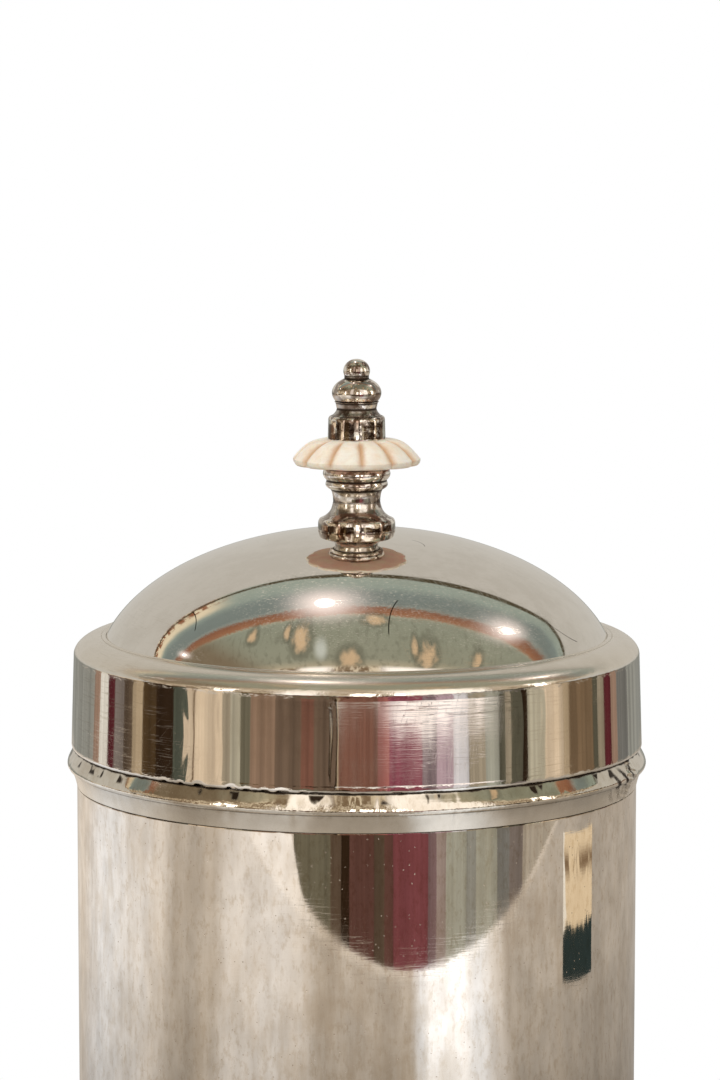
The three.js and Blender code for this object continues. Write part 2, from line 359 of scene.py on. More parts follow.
# studio: pale table, white surroundings, and the cards, ceiling and lamps that the metal mirrors
tints = {
    "chalk": (1.0, 0.96, 0.88), "coolWhite": (0.92, 0.89, 0.94), "cream": (0.90, 0.72, 0.53),
    "sand": (0.58, 0.45, 0.30), "tan": (0.25, 0.166, 0.098), "brown": (0.13, 0.09, 0.062),
    "darkBrown": (0.10, 0.06, 0.027), "umber": (0.038, 0.021, 0.011), "fawn": (0.25, 0.21, 0.19),
    "taupe": (0.19, 0.17, 0.118), "grey": (0.37, 0.37, 0.335), "slate": (0.24, 0.235, 0.22),
    "sage": (0.45, 0.38, 0.28), "paleSage": (0.61, 0.556, 0.427), "lightSage": (0.467, 0.464, 0.39),
    "deepSage": (0.11, 0.12, 0.092), "blackOlive": (0.13, 0.12, 0.085), "pinkTan": (0.41, 0.27, 0.20),
    "clayTan": (0.36, 0.235, 0.162), "cocoa": (0.207, 0.14, 0.098), "clay": (0.275, 0.125, 0.088),
    "coral": (0.45, 0.16, 0.14), "rose": (0.33, 0.09, 0.125), "maroon": (0.136, 0.027, 0.034),
    "dimLilac": (0.30, 0.22, 0.24), "lilac": (0.58, 0.42, 0.48),
    "darkClay": (0.147, 0.07, 0.057), "dimRose": (0.25, 0.078, 0.088), "mauve": (0.25, 0.16, 0.165),
    "pinkGrey": (0.40, 0.32, 0.29), "linen": (0.84, 0.75, 0.66), "dimLinen": (0.52, 0.46, 0.38),
}
studio = {
    # left edge of each card in degrees from the front, rightwards, and its tint
    "lowCards": [
        (-180, "grey"), (-132, "pinkTan"), (-126, "chalk"), (-119.5, "maroon"), (-114.5, "fawn"),
        (-107, "brown"), (-101.5, "sand"), (-95, "darkBrown"), (-87.5, "umber"), (-78.5, "deepSage"),
        (-72, "cream"), (-68.8, "tan"), (-67.8, "cream"), (-55.5, "sage"), (-52, "paleSage"),
        (-47.5, "taupe"), (-43, "clayTan"), (-33, "cocoa"), (-22, "clay"), (-17, "cocoa"),
        (-9.4, "umber"), (-8.2, "sand"), (-7.4, "clay"), (0, "clay"), (8, "coral"), (12, "rose"),
        (26, "dimLilac"), (31, "lilac"), (38, "coolWhite"), (45, "sage"), (52, "lightSage"),
        (58, "blackOlive"), (60.5, "sage"), (63.5, "blackOlive"), (68.5, "umber"), (71.5, "paleSage"),
        (80, "cream"), (90.5, "sand"), (94, "tan"), (109, "blackOlive"), (113, "sage"),
        (118, "maroon"), (123.5, "pinkTan"), (129, "slate"), (141, "grey"),
    ],
    # below the table's level in front, as the wall mirrors it
    "deepCards": [
        (-180, "linen"), (-25.5, "taupe"), (-11, "brown"),
        (-6.6, "umber"), (-3, "darkClay"), (0, "darkClay"), (7, "brown"), (11, "darkClay"),
        (14.6, "dimRose"), (28.4, "mauve"), (32, "pinkGrey"), (36.4, "lightSage"), (44.4, "grey"),
        (49, "lightSage"), (58.5, "slate"), (64, "fawn"), (71, "dimLinen"),
    ],
    # over the low cards, as the finial mirrors it
    "highCards": [
        (-180, "grey"), (-130, "paleSage"), (-118, "cream"), (-96, "umber"), (-74, "brown"),
        (-66, "cream"), (-52, "darkBrown"), (-32, "umber"), (-9, "chalk"), (0, "chalk"), (9, "umber"),
        (20, "sage"), (28, "darkBrown"), (46, "umber"), (76, "sand"), (86, "umber"), (112, "brown"),
        (128, "grey"),
    ],
    # heights, as z of the direction, where deep cards, low cards, high cards and light band meet
    "deepTop": -0.165, "cardTop": -0.096, "highTop": -0.030,
    # share of black in the upright folds of the low and the deep cards
    "lowFold": 0.42, "deepFold": 0.3,
    # glow at the top of the low cards: turn in radians and z of the direction
    "glowTurn": (0.22, 0.98), "glowRise": (-0.1105, -0.1045), "glowLight": (1.4, 1.28, 1.25),
    "bandDark": (0.24, 0.165, 0.10), "bandLight": (0.80, 0.68, 0.51), "windows": (1.35, 1.26, 1.18),
    "backdropLow": (0.60, 0.575, 0.53), "backdropHigh": (0.57, 0.54, 0.495),
    # middle and half width, in degrees, of bright upright strips that the finial mirrors
    "strips": [(-54, 3.0), (3, 4.5), (17, 2.0), (79, 3.0)], "stripLight": (3.2, 3.0, 2.8),
    # brightness of the table by degrees from the front, as the wall mirrors it, at most tableGlare
    "tableTones": [
        (-180, 0.50), (-150, 0.80), (-118, 0.99), (-92, 0.92), (-84, 0.86), (-74, 0.60), (-66, 0.55),
        (-57, 0.66), (-49, 0.88), (-30, 0.90), (-22, 0.86), (-14, 0.62), (6, 0.62), (14, 0.60),
        (20, 0.68), (24, 1.08), (28, 1.5), (40, 1.5), (47, 1.18), (55, 0.88), (61, 0.60), (66, 0.53),
        (78, 0.58), (92, 0.54), (104, 0.45), (120, 0.50), (150, 0.50), (180, 0.50),
    ],
    "tableGlare": 1.5,
    # the table's front edge is an arc at the distance tableEdge in the direction tableTurn, with the
    # radius tableBend on its right and tableBendLeft on its left; leftwards of flareFrom it runs out
    # again from tableCorner by tableFlare; behind, the table is round, with the radius tableReach
    "tableEdge": 427.0, "tableTurn": 22.0, "tableBend": 1050.0, "tableBendLeft": 1280.0,
    "tableReach": 650.0, "tableCorner": 379.0, "tableFlare": 0.4, "flareFrom": 345.0,
    "daylight": 0.66,
}
# what hangs overhead, on a plane with across = x / z, depth = y / z and column = across / (1 - depth)
overhead = {
    # middle by column and depth, half width and half depth
    "shapes": [(-0.576, 0.01, 0.040, 0.12), (-0.259, -0.16, 0.046, 0.28), (-0.335, -0.03, 0.020, 0.12),
               (-0.031, -0.60, 0.050, 0.24), (0.345, -0.48, 0.055, 0.32), (0.27, -0.30, 0.018, 0.20),
               (0.732, -0.38, 0.050, 0.24), (0.09, 0.10, 0.055, 0.08)],
    "glow": (-0.16, -0.37, 0.035, 0.26),
    # the dark arc lies at a depth of arc + bend * across^2, with a bend for the left and the right
    "arc": 0.81, "bendLeft": 0.05, "bendRight": 0.24, "arcReach": 1.1,
    # tints from front to back, by 0.5 + 0.42 depth
    "tones": [
        (0.0, (0.62, 0.53, 0.38)), (0.14, (0.60, 0.51, 0.36)), (0.26, (0.33, 0.33, 0.25)),
        (0.50, (0.31, 0.325, 0.25)), (0.556, (0.31, 0.33, 0.26)), (0.566, (0.40, 0.41, 0.31)),
        (0.576, (0.38, 0.18, 0.10)), (0.616, (0.27, 0.12, 0.07)), (0.630, (0.30, 0.33, 0.30)),
        (0.645, (0.215, 0.25, 0.235)), (0.71, (0.225, 0.265, 0.25)), (0.75, (0.33, 0.385, 0.34)),
        (0.84, (0.39, 0.44, 0.38)),
    ],
    "blotchTint": (0.15, 0.15, 0.11), "leftTint": (0.20, 0.13, 0.075), "shadeTint": (0.10, 0.095, 0.065),
    "shapeTint": (0.74, 0.53, 0.33), "glowTint": (0.80, 0.84, 0.80), "cornerTint": (0.84, 0.72, 0.52),
    "spotTint": (0.30, 0.12, 0.06), "arcTint": (0.08, 0.064, 0.036),
    # light of the specks round a lamp's place, of its halo and of its core
    "speckLight": (0.95, 0.86, 0.76), "haloLight": (1.3, 1.14, 1.10), "haloPower": 2.8,
    "coreLight": (9.0, 8.4, 7.8),
}
# turn and rise in degrees and distance and size in metres place a lamp; halo is the half width and half
# depth of its glow on the overhead plane, and None for a lamp that isn't mirrored
lamps = {
    "softKey": {"turn": -35.0, "rise": 52.0, "distance": 1.5, "size": 0.9, "power": 9.0, "halo": None},
    "lampLeft": {"turn": -161.0, "rise": 69.6, "distance": 1.6, "size": 0.10, "power": 0.8,
                 "halo": (0.26, 0.44)},
    "lampRight": {"turn": 114.2, "rise": 47.4, "distance": 1.6, "size": 0.11, "power": 0.9,
                  "halo": (0.40, 0.42)},
    "lampSide": {"turn": -98.6, "rise": 33.7, "distance": 1.6, "size": 0.05, "power": 0.2,
                 "halo": (0.22, 0.22)},
}


def aim(turn, rise):
    # direction to a lamp, as a unit vector
    turn, rise = math.radians(turn), math.radians(rise)
    return Vector((math.sin(turn) * math.cos(rise), -math.cos(turn) * math.cos(rise), math.sin(rise)))


def cardsAround(net, turn, cards):
    # tint by turn; a ramp holds 32 stops at most, so each half of the circle has a ramp of its own
    halves = []
    for start in (-180, 0):
        inside = [(edge, tints[tint]) for edge, tint in cards if start <= edge < start + 180]
        stops = [((edge - start) / 180, colour) for edge, colour in inside]
        share = net.linear(turn, 1 / math.pi, -start / 180)
        halves.append(net.ramp(share, stops, "CONSTANT"))
    return net.blend(net.calc("GREATER_THAN", turn, 0.0), *halves)


def ovalDistance(net, across, depth, oval):
    # length of ((across - middle) / half width, (depth - middle) / half depth): 1 on the oval's edge
    middleAcross, middleDepth, halfWidth, halfDepth = oval
    sideways = net.linear(across, 1 / halfWidth, -middleAcross / halfWidth)
    lengthways = net.linear(depth, 1 / halfDepth, -middleDepth / halfDepth)
    return net.vector("LENGTH", net.combine(sideways, lengthways), out=1)


def arcDepth(net, across):
    # arc + bend * across^2, with across limited to arcReach each way
    reach, left, right = overhead["arcReach"], overhead["bendLeft"], overhead["bendRight"]
    near = net.calc("MINIMUM", net.most(across, -reach), reach)
    bend = net.linear(net.calc("GREATER_THAN", across, 0.0), right - left, left)
    return net.linear(net.times(near, near), bend, overhead["arc"])


def ceilingColour(net, across, depth, wobble):
    # from front to back: green grey with cream shapes, a brown line, two grey zones and a dark arc
    place = net.combine(across, depth)
    ragged = net.linear(net.noise(place, 2.6, 2.0), 0.07, -0.035)
    ragged = net.linear(wobble, 0.4, ragged)
    bent = net.minus(arcDepth(net, across), overhead["arc"])
    bent = net.times(bent, net.step(depth, 0.1, 0.8))
    level = net.minus(net.calc("ADD", depth, ragged), bent)
    grain = net.linear(net.noise(place, 60.0, 3.0, 0.7), 0.16, -0.08)
    ceiling = net.ramp(net.linear(net.calc("ADD", level, grain), 0.42, 0.5), overhead["tones"])
    column = net.calc("DIVIDE", across, net.most(net.minus(1.0, depth), 0.1))
    upright = net.combine(column, net.times(depth, 0.16))
    blotch = net.noise(upright, 30.0, 3.0, 0.6)
    dark = net.times(net.step(blotch, 0.50, 0.66, 0.0, 0.4), net.step(level, 0.16, 0.06))
    ceiling = net.blend(dark, ceiling, overhead["blotchTint"])
    brownEnd = net.times(net.step(across, -0.6, -1.2, 0.0, 0.75), net.step(level, 0.26, 0.12))
    ceiling = net.blend(brownEnd, ceiling, overhead["leftTint"])
    shaken = net.linear(blotch, 1.6, -0.8)
    for oval in overhead["shapes"]:
        distance = net.calc("ADD", ovalDistance(net, column, depth, oval), shaken)
        ceiling = net.blend(net.step(distance, 1.7, 1.2, 0.0, 0.45), ceiling, overhead["shadeTint"])
        ceiling = net.blend(net.step(distance, 1.15, 0.35, 0.0, 0.9), ceiling, overhead["shapeTint"])
    glow = net.step(ovalDistance(net, column, depth, overhead["glow"]), 1.2, 0.2, 0.0, 0.6)
    ceiling = net.blend(glow, ceiling, overhead["glowTint"])
    corner = net.times(net.step(level, 0.56, 0.66), net.step(across, -0.46, -0.72))
    ceiling = net.blend(corner, ceiling, overhead["cornerTint"])
    spots = net.noise(place, 12.0, 3.0, 0.6)
    spots = net.times(net.step(spots, 0.44, 0.50), net.step(level, 0.70, 0.74))
    ceiling = net.blend(net.times(corner, spots), ceiling, overhead["spotTint"])
    off = net.calc("ABSOLUTE", net.minus(level, overhead["arc"]))
    width = net.step(across, -0.6, 0.5, 0.014, 0.055)
    return net.blend(net.step(net.minus(off, width), 0.010, -0.004), ceiling, overhead["arcTint"])


def lightBandColour(net, turn, z):
    # warm light broken by dark, with two windows
    glints = net.noise(net.combine(turn, net.times(z, 0.4)), 16.0, 4.0, 0.7)
    band = net.blend(net.step(glints, 0.46, 0.56), studio["bandDark"], studio["bandLight"])
    right = net.between(turn, math.radians(15), math.radians(54), 0.08)
    left = net.between(turn, math.radians(-31), math.radians(-15), 0.08)
    return net.blend(net.most(right, left), band, studio["windows"])


def studioWorld():
    # camera rays see white, light comes from an even white, and glossy rays see the room
    world = bpy.data.worlds.new("studio")
    bpy.context.scene.world = world
    world.use_nodes = True
    net = Net(world.node_tree)
    direction = net.add("ShaderNodeTexCoord", out=0)
    x, y, z = net.parts(direction)
    wobble = net.linear(net.noise(direction, 11.0, 3.0), 0.05, -0.025)
    turn = net.turn(x, y)
    shaken = net.linear(wobble, 0.5, turn)
    level = net.linear(wobble, 0.15, z)

    folds = net.noise(net.combine(shaken, net.times(z, 0.02)), 11.0, 6.0, 0.75)
    low, deep, high = (cardsAround(net, shaken, studio[tier + "Cards"]) for tier in ("low", "deep", "high"))
    low = net.blend(net.step(folds, 0.34, 0.66, 0.0, studio["lowFold"]), low, (0, 0, 0))
    deep = net.blend(net.step(folds, 0.34, 0.66, 0.0, studio["deepFold"]), deep, (0, 0, 0))
    glow = net.times(net.between(turn, *studio["glowTurn"], 0.12), net.step(level, *studio["glowRise"]))
    low = net.blend(glow, low, studio["glowLight"])
    room = net.blend(net.above(level, studio["deepTop"], 0.006), deep, low)
    room = net.blend(net.above(level, studio["cardTop"], 0.003), room, high)
    isHigh = net.above(level, studio["highTop"], 0.005)

    rise = net.most(z, 0.05)
    across, depth = net.calc("DIVIDE", x, rise), net.calc("DIVIDE", y, rise)
    isCeiling = net.times(net.step(z, 0.28, 0.34), net.step(depth, -0.84, -0.72))
    ceiling = ceilingColour(net, across, depth, wobble)
    upper = net.blend(isCeiling, lightBandColour(net, turn, z), ceiling)
    room = net.blend(isHigh, room, upper)
    for middle, half in studio["strips"]:
        strip = net.between(shaken, math.radians(middle - half), math.radians(middle + half), 0.02)
        strip = net.times(strip, net.between(z, -0.05, 0.40, 0.03))
        room = net.blend(strip, room, studio["stripLight"])
    backdrop = net.blend(net.step(z, 0.05, 0.8), studio["backdropLow"], studio["backdropHigh"])
    border = net.times(z, net.calc("ADD", arcDepth(net, across), 0.03))
    isBack = net.step(net.minus(y, border), -0.005, 0.01)
    room = net.blend(net.times(isBack, net.step(z, -0.07, -0.04)), room, backdrop)
    sparkle = net.step(net.noise(direction, 110.0, 2.0), 0.60, 0.66, 0.0, 0.6)
    isUp = net.step(z, 0.2, 0.3)
    for lamp in lamps.values():
        if lamp["halo"]:
            outward = aim(lamp["turn"], lamp["rise"])
            middle = (outward.x / outward.z, outward.y / outward.z)
            distance = ovalDistance(net, across, depth, (*middle, *lamp["halo"]))
            near = net.times(net.step(distance, 2.2, 0.6), isUp)
            room = net.blend(net.times(near, sparkle), room, overhead["speckLight"])
            halo = net.calc("POWER", net.step(distance, 1.25, 0.0), overhead["haloPower"])
            room = net.blend(net.times(halo, isUp), room, overhead["haloLight"])
            core = net.times(net.step(distance, 0.16, 0.07), isUp)
            room = net.blend(core, room, overhead["coreLight"])

    isSeen, isGlossy = net.rays()
    seen = net.blend(isGlossy, tuple([studio["daylight"]] * 3), room)
    seen = net.blend(isSeen, seen, (1, 1, 1))
    background = net.add("ShaderNodeBackground", given={"Color": seen, "Strength": 1.0})
    net.add("ShaderNodeOutputWorld", given={"Surface": background})


def tableTone(tone):
    # share of the glare: warm where it is dim, and neutral where daylight falls on it
    glow = min(1.0, max(0.0, (tone - 0.8) / 0.2))
    share = tone / studio["tableGlare"]
    return (share, share * (0.90 + 0.12 * glow), share * (0.79 + 0.28 * glow))


def tableAxes():
    # forward and sideways directions of the table's front edge
    turn = math.radians(studio["tableTurn"])
    return np.array([math.sin(turn), -math.cos(turn)]), np.array([math.cos(turn), math.sin(turn)])


def tableMaterial():
    # pale and lit near the jar, fading to white farther off; the metal mirrors it with its tones, a painted
    # shadow near the jar and a painted highlight along its front edge, which takes the right bend on both
    # sides and so is a little wider on the left
    material, net, place = newMaterial("paleTable")
    x, y = net.parts(place)[:2]
    distance = net.vector("LENGTH", net.vector("MULTIPLY", place, (1, 1, 0)), out=1)
    turn = net.turn(x, y)
    stops = [((edge + 180) / 360, tableTone(tone)) for edge, tone in studio["tableTones"]]
    tone = net.ramp(net.linear(turn, 0.5 / math.pi, 0.5), stops, "EASE")
    cloth = net.noise(net.combine(net.times(turn, 0.5), distance), 16.0, 5.0, 0.6)
    # painted shadow: as the metal mirrors it, the table is darker near the jar, from 0.62 within 0.15 m up
    # to full at 0.48 m
    factor = net.step(distance, 0.15, 0.48, 0.62, 1.0)
    factor = net.times(factor, net.step(cloth, 0.3, 0.7, 0.9, 1.1))
    # painted highlight: a bright line along the table's front edge, as the metal mirrors it
    forward, sideways = (net.vector("DOT_PRODUCT", place, (*axis, 0), out=1) for axis in tableAxes())
    bend = net.times(sideways, net.times(sideways, 0.5 / (studio["tableBend"] * mm)))
    toEdge = net.minus(studio["tableEdge"] * mm, net.calc("ADD", forward, bend))
    factor = net.calc("ADD", factor, net.step(toEdge, 0.016, 0.008, 0.0, 0.25))
    factor = net.times(factor, studio["tableGlare"])
    mirrored = net.emit(net.scaled(tone, factor))
    lit = net.add("ShaderNodeBsdfPrincipled", given={"Base Color": (0.90, 0.89, 0.87), "Roughness": 0.4})
    isSeen, isGlossy = net.rays()
    far = net.times(isSeen, net.step(distance, 0.11, 0.19))
    surface = net.add("ShaderNodeMixShader", given={0: far, 1: lit, 2: net.emit((1, 1, 1))})
    surface = net.add("ShaderNodeMixShader", given={0: isGlossy, 1: surface, 2: mirrored})
    net.show(surface)
    return material


def makeTable():
    # flat sheet; its front edge lies tableEdge - side^2 / (2 bend) in front of the axis, with a bend for
    # each side, and on the far left it goes out again by tableFlare for each millimetre of side
    reach = studio["tableReach"]
    forward, sideways = tableAxes()
    side = np.linspace(-640, 560, 61)[:, None]
    bend = np.where(side > 0, studio["tableBend"], studio["tableBendLeft"])
    arc = studio["tableEdge"] - side ** 2 / (2 * bend)
    corner = studio["tableCorner"] - studio["tableFlare"] * (side + studio["flareFrom"])
    front = forward * np.maximum(arc, corner) + sideways * side
    ends = np.arctan2(front[[-1, 0], 1], front[[-1, 0], 0])
    turn = np.linspace(ends[0], ends[1] % (2 * math.pi), 90)[1:-1, None]
    outline = np.vstack([front, reach * np.hstack([np.cos(turn), np.sin(turn)])]) * mm
    table = meshed("table", [(x, y, 0) for x, y in outline], [tuple(range(len(outline)))])
    table.data.materials.append(tableMaterial())


sideCard = {"turn": 95.5, "distance": 372.0, "width": 118.0, "height": 42.0, "foot": 16.0,
            "upper": (0.86, 0.70, 0.49), "lower": (0.03, 0.045, 0.045)}


def makeCard(name, turn, distance, width, height, foot, upper, lower):
    # upright card that only the metal mirrors: blotched above, with a bright left border, and of
    # another tint up to its foot height
    middle = np.array([math.sin(math.radians(turn)), -math.cos(math.radians(turn))])
    along = np.array([-middle[1], middle[0]])
    side = along * width / 2
    ends = [middle * distance - side, middle * distance + side]
    places = [(*(end * mm), level * mm) for level in (0, height) for end in ends]
    card = meshed(name, places, [(0, 1, 3, 2)])
    material, net, place = newMaterial(name)
    z = net.parts(place)[2]
    blotch = net.noise(place, 45.0, 4.0, 0.6, 1.0)
    where = net.between(z, (foot + 14) * mm, (foot + 20) * mm, 0.003)
    tint = net.blend(net.times(net.step(blotch, 0.44, 0.54), where), upper, tints["tan"])
    across = net.vector("DOT_PRODUCT", place, (*along, 0), out=1)
    border = net.linear(blotch, 0.034, across)
    tint = net.blend(net.step(border, (28 - width / 2) * mm, (24 - width / 2) * mm), tint, tints["chalk"])
    ragged = net.linear(blotch, 0.012, z)
    tint = net.blend(net.step(ragged, (foot + 5) * mm, (foot + 7) * mm), lower, tint)
    net.show(net.emit(tint))
    card.data.materials.append(material)
    for ray in ("camera", "diffuse", "shadow", "transmission"):
        setattr(card, "visible_" + ray, False)


def makeLamp(name, lamp):
    # disc lamp aimed at the lid; the metal doesn't mirror it, but its halo on the overhead plane
    outward = aim(lamp["turn"], lamp["rise"])
    data = bpy.data.lights.new(name, "AREA")
    data.shape = "DISK"
    data.size = lamp["size"]
    data.energy = lamp["power"]
    item = linked(name, data)
    item.location = outward * lamp["distance"] + Vector((0, 0, 0.14))
    item.rotation_mode = "QUATERNION"
    item.rotation_quaternion = outward.to_track_quat("Z", "Y")
    item.visible_glossy = False


studioWorld()
makeTable()
makeCard("sideCard", **sideCard)
for name, lamp in lamps.items():
    makeLamp(name, lamp)
print("studio ready")


def silverFinish(name, finish):
    # bright plate, dulled by blotches, streaks, grime in hollows and pits, and a crease line of grime and
    # painted shade, with hairline scratches
    material, net, place = newMaterial(name)
    x, y, z = net.parts(place)
    radius = net.vector("LENGTH", net.vector("MULTIPLY", place, (1, 1, 0)), out=1)
    turn = net.turn(x, y)
    cavity = net.add("ShaderNodeAttribute", out=2, attribute_name="cavity")

    blotch = net.noise(place, finish["blotchScale"], 6.0, 0.65)
    upright = net.vector("MULTIPLY", place, (1, 1, finish["streakDraw"]))
    upright = net.noise(upright, finish["streakScale"], 5.0, 0.65)
    dull = net.linear(blotch, 0.5, net.times(upright, 0.5))
    dull = net.step(dull, finish["dullFrom"], finish["dullFrom"] + finish["dullSpan"])
    cloud = net.step(net.noise(place, finish["blotchScale"] * 0.3, 2.0, 0.5), 0.35, 0.65)
    dull = net.times(dull, net.linear(cloud, 0.6, 0.4))
    speck = net.noise(net.vector("MULTIPLY", place, (1, 1, 0.45)), 900.0, 4.0, 0.7)
    mottle = net.times(net.step(speck, 0.47, 0.70), finish["mottle"])

    brushed = net.combine(net.times(turn, finish["brushDraw"]), z, radius)
    brushed = net.noise(brushed, 2600.0, 3.0, 0.6)
    hair = net.noise(net.vector("MULTIPLY", place, (1, 1, 42)), 38.0, 2.0, 0.5, 0.2)
    given = {"Vector": place, "Axis": (0.3, 0.2, 1.0), "Angle": 0.9}
    tilted = net.add("ShaderNodeVectorRotate", given=given)
    crossHair = net.noise(net.vector("MULTIPLY", tilted, (1, 24, 1)), 55.0, 1.0, 0.5, 0.3)
    hair = net.most(net.line(hair, 0.5, 0.006), net.line(crossHair, 0.52, 0.005))
    where = net.step(net.noise(place, 45.0, 2.0), 0.46, 0.6)
    scratch = net.times(net.times(hair, where), finish["scratches"])
    worn = net.step(net.noise(place, 28.0, 3.0, 0.6), 0.48, 0.66)
    worn = net.times(worn, finish["scuffs"])
    scuff = net.times(net.step(brushed, 0.54, 0.66), worn)

    cells = net.add("ShaderNodeTexVoronoi", given={"Vector": place, "Scale": finish["pitScale"]})
    chosen = net.add("ShaderNodeSeparateColor", given={0: cells.node.outputs["Color"]})
    chosen = net.step(chosen, 0.94, 0.95)
    pitSize = net.times(net.noise(place, 500.0, 2.0), 0.42)
    pits = net.times(net.calc("LESS_THAN", cells, pitSize), chosen)
    pits = net.times(pits, finish["pits"])

    ragged = net.noise(place, 900.0, 3.0)
    grime = net.linear(ragged, 0.06, cavity)
    grime = net.step(grime, finish["grimeFrom"], finish["grimeFrom"] + 0.12)
    grime = net.times(grime, finish["grime"])
    # painted shade with grime: a dark line along the crease where the band's hem meets the bead, a gap that
    # lies in shade
    if "creaseHeight" in finish:
        off = net.linear(net.noise(place, 260.0, 3.0), 0.0010, z)
        grime = net.most(grime, net.line(off, (finish["creaseHeight"] + 0.5) * mm, 0.0004))
    if "jointTurn" in finish:
        grime = net.most(grime, jointStreaks(net, turn, z, finish["jointTurn"]))
    if "pitRow" in finish:
        grime = net.most(grime, pitRow(net, turn, z, *finish["pitRow"]))

    colour = net.blend(net.times(dull, finish["dullness"]), finish["bright"], finish["dull"])
    for share, tint in ((mottle, "dull"), (net.times(scratch, 0.35), "dull"),
                        (net.times(scuff, 0.5), "dull"), (pits, "pitTint"), (grime, "dirtAndShade")):
        colour = net.blend(share, colour, finish[tint])
    if "marks" in finish:
        colour = net.blend(markMask(net, x, y, finish["marks"]), colour, (0.06, 0.05, 0.04))
    rough = net.linear(dull, finish["roughest"] - finish["smoothest"], finish["smoothest"])
    for low, high, satin in finish.get("satin", []):
        within = net.between(net.linear(ragged, 0.0004, z), low * mm, high * mm, 0.35 * mm)
        rough = net.linear(within, satin, rough)
        colour = net.blend(net.times(within, 0.6), colour, finish["satinTint"])
    rough = net.linear(net.calc("ADD", scratch, scuff), 0.06, rough)
    metal = 1.0
    if "insideRadius" in finish:
        # the inside is dull and tarnished, so it scatters light as well as mirroring it
        edge = finish["insideRadius"] * mm
        inside = net.step(radius, edge, edge - 0.09 * mm)
        metal = net.linear(inside, -0.65, 1.0)
        rough = net.linear(inside, 0.35, rough)
    rough = net.linear(net.most(grime, pits), 0.4, rough, clamp=True)

    wave = net.noise(place, finish["waveScale"], 1.5, 0.4)
    surface = net.relief(finish["wave"], wave)
    rugged = net.noise(net.vector("MULTIPLY", place, (1, 1, 1.6)), 420.0, 3.0, 0.6)
    for low, high, depth in finish.get("dents", []):
        dents = net.times(rugged, net.between(z, low * mm, high * mm, 0.0008))
        surface = net.relief(depth, dents, Normal=surface)
    fine = net.times(brushed, finish["brushRelief"])
    fine = net.linear(upright, finish["uprightRelief"], fine)
    fine = net.minus(fine, net.linear(pits, 6.0, net.times(scratch, 0.8)))
    surface = net.relief(0.002, fine, Normal=surface)
    shader = net.add("ShaderNodeBsdfPrincipled", given={
        "Base Color": colour, "Metallic": metal, "Roughness": rough, "Normal": surface})
    net.show(shader)
    return material


def jointStreaks(net, turn, z, jointTurn):
    # slanting dark streaks beside the solder joint: sin(turn + height) above a limit, within a patch
    slant = net.linear(turn, 95.0, net.times(z, 1500.0))
    slant = net.calc("ADD", slant, net.times(net.noise(net.combine(turn, z), 700.0, 3.0), 5.0))
    streaks = net.step(net.calc("SINE", slant), 0.25, 0.5)
    middle = math.radians(jointTurn)
    patch = net.between(turn, middle - 0.10, middle + 0.07, 0.02)
    patch = net.times(patch, net.between(z, 0.1108, 0.1172, 0.0008))
    return net.times(streaks, patch)


def pitRow(net, turn, z, low, high):
    # dark pits in a row round the bead, where a noise along it is above a limit
    along = net.times(turn, 0.06)
    noise = net.noise(net.combine(along, net.times(z, 0.6)), 170.0, 2.5, 0.6)
    return net.times(net.step(noise, 0.56, 0.60), net.between(z, low * mm, high * mm, 0.0003))


def markMask(net, x, y, marks):
    # a dark hair mark is where the distance from an arc's centre, seen from above, is its radius
    total = None
    for centreX, centreY, radius, middleX, middleY, reach, width in marks:
        onArc = net.line(distanceFrom(net, x, y, centreX, centreY), radius * mm, width * mm)
        near = net.step(distanceFrom(net, x, y, middleX, middleY), reach * mm, reach * 0.85 * mm)
        mark = net.times(onArc, near)
        total = mark if total is None else net.most(total, mark)
    return total


def distanceFrom(net, x, y, centreX, centreY):
    # length, seen from above, of the way to a centre given in millimetres
    away = net.vector("SUBTRACT", net.combine(x, y), (centreX * mm, centreY * mm, 0))
    return net.vector("LENGTH", away, out=1)


plainPlate = {
    "bright": (0.84, 0.80, 0.735), "dull": (0.58, 0.52, 0.43), "dirtAndShade": (0.05, 0.035, 0.025),
    "satinTint": (0.84, 0.765, 0.65), "dullness": 0.35, "dullFrom": 0.41, "dullSpan": 0.2, "mottle": 0.0,
    "smoothest": 0.025, "roughest": 0.07, "blotchScale": 60.0, "streakScale": 260.0,
    "streakDraw": 1.0, "scratches": 0.5, "scuffs": 0.4, "pits": 0.0, "pitScale": 1500.0,
    "pitTint": (0.16, 0.11, 0.07), "grime": 0.8, "grimeFrom": 0.07,
    "wave": 0.03, "waveScale": 60.0, "brushDraw": 0.004, "brushRelief": 0.25, "uprightRelief": 0.0,
}
crease = span("lid_band")[1]
